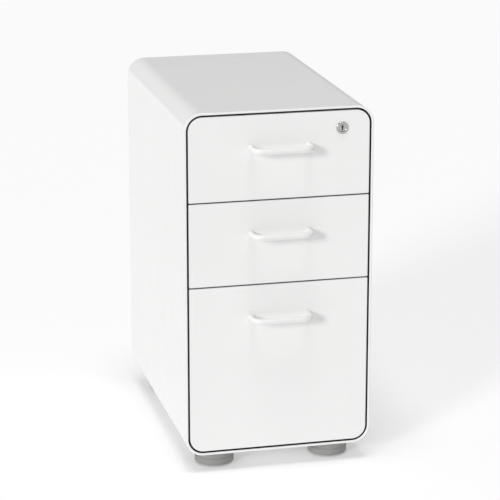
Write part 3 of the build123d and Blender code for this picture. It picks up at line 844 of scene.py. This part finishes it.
def make_handle(drawer):
    """The round-rod bow handle."""
    low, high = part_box(f"handle_{drawer}")
    rod = (high.z - low.z) / 2
    handle = grown(
        f"pull_{drawer}", HANDLE_TREE, Half_Span=(high.x - low.x) / 2 - rod,
        Reach=high.y - low.y - rod, Rod_Radius=rod, Bend_Radius=HANDLE_BEND,
        Bend_Steps=14, Rod_Sides=40, Material=ROD_PAINT_SHADED,
    )
    handle.data.shade_smooth()
    handle.data.set_sharp_from_angle(angle=SHARP_ANGLE)
    placed(handle, Matrix.Translation((0, high.y, (low.z + high.z) / 2)))
    return dress(handle, ROD_PAINT_SHADED, f"drawer_{drawer}", "front_paint", f"handle_{drawer}")


def pan_head(name, radius, height, shank_radius, shank_length):
    """A pan-head screw that points along -Z, its head's seat at the origin, with a cross recess."""
    flat, steps = 0.55, 6
    dome = [(0, height)]
    for step in range(1, steps + 1):
        angle = math.pi / 2 * step / steps
        across = flat + (1 - flat) * math.sin(angle)
        up = flat + (1 - flat) * math.cos(angle)
        dome.append((radius * across, height * up))
    profile = dome + [(radius, 0), (shank_radius, 0), (shank_radius, -shank_length), (0, -shank_length)]
    screw = lathe(name, profile, (0, 0, 0), "Z", 24)
    arm, width, depth = radius * 0.62, radius * 0.16, height * 0.6
    quarter_plus = [(arm, -width), (arm, width), (width, width)]
    plus = []
    for turn in range(4):
        sine, cosine = math.sin(math.pi / 2 * turn), math.cos(math.pi / 2 * turn)
        plus += [(x * cosine - y * sine, x * sine + y * cosine) for x, y in quarter_plus]
    rings = [[Vector((x, y, z)) for x, y in plus] for z in (height - depth, height + depth)]
    return cut(screw, plain(mesh_from_rings("cross", rings)))


def make_back_screws():
    """Six screws that hold the back panel."""
    low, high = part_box("back_panel_screws")
    head = SCREW_HEAD_RADIUS
    plate_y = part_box("back_panel")[1].y
    screw = pan_head("back_screw", head, high.y - plate_y, SCREW_SHANK_RADIUS, plate_y - low.y)
    screws = grown(
        "back_screws", GRID_TREE, Fastener=screw, Columns=2, Rows=3,
        Width=high.x - low.x - 2 * head, Height=high.z - low.z - 2 * head, Material=FASTENER_ZINC,
    )
    bpy.data.objects.remove(screw)
    upright = Matrix.Rotation(math.radians(-90), 4, "X")
    placed(screws, Matrix.Translation((0, plate_y, (low.z + high.z) / 2)) @ upright)
    return dress(screws, FASTENER_ZINC, "cabinet", "zinc_fasteners", "back_panel_screws")


def make_balls(drawer):
    """Four rows of balls between each slide's outer and middle members."""
    outer_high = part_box(f"slide_outer_{drawer}")[1]
    middle_low, middle_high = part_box(f"slide_middle_{drawer}")
    gap = outer_high.z - SHEET - middle_high.z
    start_y = middle_high.y - BALLS_IN_ROW * BALL_PITCH
    rows = []
    for side in (-1, 1):
        for z in (middle_high.z + gap / 2, middle_low.z - gap / 2):
            row = grown(
                f"row_{len(rows)}", BALL_TREE, Balls=BALLS_IN_ROW, Pitch=BALL_PITCH,
                Ball_Radius=gap / 2 - BALL_CLEARANCE, Material=TURNED_STEEL,
            )
            rows.append(placed(row, Matrix.Translation((side * BALL_ROW_X, start_y, z))))
    balls = rows[0]
    for row in rows[1:]:
        extra = row.data
        bpy.data.objects.remove(row)
        joined(balls.data, extra)
    balls.name = f"slide_balls_{drawer}"
    return dress(balls, TURNED_STEEL, f"slide_middle_{drawer}", "slide_steel")


# ---- Lock -------------------------------------------------------------------

SLOT_DEPTH = 10.0 * MM
WAFERS_START = 0.5 * MM
WAFERS_END = 9.0 * MM


def make_lock_ring(centre):
    """The stepped chrome ring, with its barrel behind the drawer's front."""
    low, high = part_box("lock_housing")
    ring, barrel, bore = (high.x - low.x) / 2, 8.5 * MM, 6.05 * MM
    mouth, mouth_depth, flat, turn = 1.0 * MM, 0.5 * MM, 0.4 * MM, 1.0 * MM
    face = low.y
    profile = [(bore, high.y), (bore, face + mouth_depth)]
    profile += [(bore + 0.4 * mouth, face + 0.3 * mouth_depth), (bore + mouth, face)]
    profile += [(ring - turn - flat, face)]
    profile += quarter((ring - turn, face), (ring, face + turn), (ring, face), 5)
    profile += [(ring, FRONT_Y), (barrel, FRONT_Y), (barrel, high.y)]
    housing = lathe("lock_ring", profile, centre, "Y", 72, closed=True)
    return dress(housing, LOCK_CHROME, "drawer_top", "lock_chrome", "lock_housing")


def key_slot_points():
    """The key slot's outline about the lock's axis: a narrow slot with a wider middle."""
    slot_half, key_half, key_low, key_high, end = 1.1 * MM, 1.9 * MM, 0.6 * MM, 3.0 * MM, 4.3 * MM
    right = [(slot_half, -end), (slot_half, key_low), (key_half, key_low), (key_half, key_high),
             (slot_half, key_high), (slot_half, end)]
    return right + [(-x, z) for x, z in reversed(right)]


def make_lock_plug(centre):
    """The plug with its key slot, and the wafers that fill the slot just behind the face, coloured near
    black as painted shade in the slot.
    """
    low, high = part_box("lock_plug")
    radius = (high.x - low.x) / 2
    edge, bevel = 0.5 * MM, 0.15 * MM
    profile = [(0, low.y), (radius - edge, low.y), (radius - bevel, low.y + bevel)]
    profile += [(radius, low.y + edge), (radius, high.y), (0, high.y)]
    plug = lathe("lock_core", profile, centre, "Y", 64)
    slot = [(centre[0] + x, centre[2] + z) for x, z in key_slot_points()]
    cutter = [ring_at(slot, y) for y in (low.y - SLOT_DEPTH, low.y + SLOT_DEPTH)]
    plug = cut(plug, plain(mesh_from_rings("key_slot", cutter)))
    dress(plug, LOCK_CHROME, "lock_plug", "lock_chrome", "lock_plug")
    wafers = [ring_at(slot, y) for y in (low.y + WAFERS_START, low.y + WAFERS_END)]
    dress(finished(mesh_from_rings("key_wafers", wafers)), SHADED_WAFERS, "lock_plug", "lock_steel")


def make_lock():
    """The cylinder lock."""
    low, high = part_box("lock_housing")
    centre = ((low.x + high.x) / 2, 0, (low.z + high.z) / 2)
    make_lock_ring(centre)
    make_lock_plug(centre)


# ---- Casters ----------------------------------------------------------------


def make_hood(caster):
    """The caster's round hood: a soft shoulder, a groove round the wall, and the rib inside it."""
    low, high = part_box(f"caster_hood_{caster}")
    x, y = hood_centre(caster)
    radius, wall, roof, top = (high.x - low.x) / 2, 2.5 * MM, 3.0 * MM, high.z
    shoulder, groove_z, groove_height, groove_depth = 7.0 * MM, 14.0 * MM, 1.6 * MM, 0.8 * MM
    soft, foot, steps = 0.3 * MM, 1.0 * MM, 8
    shoulder_edge, shoulder_z = radius - shoulder, top - shoulder
    profile = [(0, top)]
    for step in range(steps + 1):
        angle = math.pi / 2 * step / steps
        across, up = shoulder * math.sin(angle), shoulder * math.cos(angle)
        profile.append((shoulder_edge + across, shoulder_z + up))
    groove_top = groove_z + groove_height
    profile += [(radius, groove_top + soft), (radius - groove_depth, groove_top)]
    profile += [(radius - groove_depth, groove_z), (radius, groove_z - soft)]
    profile += [(radius, low.z + foot), (radius - soft, low.z + soft), (radius - foot, low.z)]
    profile += [(radius - wall, low.z), (radius - wall, top - 2 * roof)]
    profile += [(radius - wall - roof, top - roof), (0, top - roof)]
    hood = lathe(f"hood_{caster}", profile, (x, y, 0), "Z", 96)
    work = bmesh.new()
    work.from_mesh(hood.data)
    rib_low, rib_high = 9.0 * MM, top - 2.0 * MM
    rib_back, rib_width, rib_length, rib_round = 3.0 * MM, 12.0 * MM, 34.0 * MM, 1.2 * MM
    place = Matrix.Translation((x, y + rib_back, (rib_low + rib_high) / 2))
    place = place @ Matrix.Diagonal((rib_width, rib_length, rib_high - rib_low, 1))
    made = bmesh.ops.create_cube(work, size=1.0, matrix=place)
    edges = {edge for vertex in made["verts"] for edge in vertex.link_edges}
    bmesh.ops.bevel(work, geom=list(edges), offset=rib_round, segments=3, affect="EDGES", profile=0.5)
    work.to_mesh(hood.data)
    work.free()
    return dress(hood, HOOD_PLASTIC, f"caster_{caster}", "hood_plastic", f"caster_hood_{caster}")


def make_wheel(caster, side):
    """A moulded wheel: a crowned tread, a recessed web and a hub."""
    name = f"caster_wheel_{caster}_{side}"
    low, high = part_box(name)
    centre = (0, (low.y + high.y) / 2, (low.z + high.z) / 2)
    radius, bore, crown, web = (high.z - low.z) / 2, 2.55 * MM, 2.0 * MM, 3.0 * MM
    rim, hub, slope = 3.6 * MM, 6.0 * MM, 0.4 * MM
    out = 1 if side == "right" else -1
    inner, outer = (low.x, high.x) if out > 0 else (high.x, low.x)

    def inward(amount):
        """The place along the axis that lies this far in from the outer face."""
        return outer - out * amount

    tread = radius - crown
    profile = [(bore, inner), (tread, inner)]
    profile += quarter((tread, inner), (radius, inner + out * crown), (radius, inner), 5)[1:]
    profile += quarter((radius, inward(crown)), (tread, outer), (radius, outer), 5)
    profile += [(radius - rim, outer), (radius - rim - 1.5 * slope, inward(2 * slope))]
    profile += [(radius - rim - 2.5 * slope, inward(web)), (hub, inward(web))]
    profile += [(hub - slope, inward(slope)), (hub - 2 * slope, outer), (bore, outer)]
    wheel = lathe(f"wheel_{caster}_{side}", profile, centre, "X", 64, closed=True)
    return dress(wheel, WHEEL_PLASTIC, f"wheel_{caster}_{side}", "wheel_plastic", name)


# ---- Making -----------------------------------------------------------------

make_shell()
make_back()
make_back_screws()
make_lock()
for drawer in DRAWERS:
    make_front(drawer)
    make_box(drawer)
    make_handle(drawer)
    make_balls(drawer)
for caster in CASTERS:
    make_hood(caster)
    for side in ("left", "right"):
        make_wheel(caster, side)

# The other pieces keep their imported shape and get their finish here. The first match counts.
KEPT_FINISHES = (
    ("inner_front_", BOX_PAINT),
    ("front_uprights", PRIMED),
    ("rear_uprights", PRIMED),
    ("base_channel_", PRIMED),
    ("counterweight", CAST_IRON),
    ("slide_stops", STOP_RUBBER),
    ("slide_screws", FASTENER_ZINC),
    ("slide_", SLIDE_ZINC),
    ("file_rails", SLIDE_ZINC),
    ("lock_bar_guides", GUIDE_PLASTIC),
    ("lock_bar", LOCK_ZINC),
    ("lock_cam_screw", FASTENER_ZINC),
    ("lock_cam", LOCK_ZINC),
    ("lock_nut", FASTENER_ZINC),
    ("handle_screws_", FASTENER_ZINC),
    ("caster_nuts", FASTENER_ZINC),
    ("caster_stems", TURNED_STEEL),
    ("caster_axle_", TURNED_STEEL),
)
for name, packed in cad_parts.items():
    matching = (material for start, material in KEPT_FINISHES if name.startswith(start))
    finish = next(matching, SHELL_PAINT)
    packed.data.materials.clear()
    packed.data.materials.append(finish)


# ---- Floor, light and camera ------------------------------------------------

FLOOR_HALF = 14.0
FLOOR_GLOW = 0.27
ROOM_BRIGHTNESS = 0.425
CAMERA_PLACE = (-0.858, -3.545, 1.354)
AIM_Y = -0.02
LENS = 158.0
SENSOR_WIDTH = 36.0


def make_floor():
    """A wide pale floor that glows a little, so that shadows on it stay light."""
    work = bmesh.new()
    bmesh.ops.create_grid(work, x_segments=1, y_segments=1, size=FLOOR_HALF)
    floor = linked("floor", mesh_of("floor", work))
    material = new_material(
        "floor_white", Roughness=0.7, Base_Color=(*grey(0.73), 1.0),
        Emission_Color=WHITE, Emission_Strength=FLOOR_GLOW,
    )[0]
    floor.data.materials.append(material)


def sun(name, toward, strength, spread):
    """A soft distant light that comes from the given direction."""
    data = bpy.data.lights.new(name, "SUN")
    data.energy = strength
    data.angle = math.radians(spread)
    light = linked(name, data)
    light.rotation_euler = Vector(toward).to_track_quat("Z", "Y").to_euler()


def make_light():
    """An even white room, a soft sun low on the left and a softer one overhead."""
    world = bpy.data.worlds.new("white_room")
    world.use_nodes = True
    backdrop = world.node_tree.nodes["Background"]
    backdrop.inputs["Color"].default_value = WHITE
    backdrop.inputs["Strength"].default_value = ROOM_BRIGHTNESS
    bpy.context.scene.world = world
    sun("key", (-36, -33, 15), 1.4, 14.0)
    sun("top", (-1, -2, 12), 1.3, 26.0)


def make_camera():
    """A long lens from in front, to the left and above."""
    data = bpy.data.cameras.new("camera")
    data.sensor_width = SENSOR_WIDTH
    data.lens = LENS
    camera = linked("camera", data)
    camera.location = CAMERA_PLACE
    look = Vector((0, AIM_Y, MIDDLE_Z)) - camera.location
    camera.rotation_mode = "QUATERNION"
    camera.rotation_quaternion = look.to_track_quat("-Z", "Y")
    bpy.context.scene.camera = camera


make_floor()
make_light()
make_camera()
bpy.context.scene.view_settings.view_transform = "Standard"
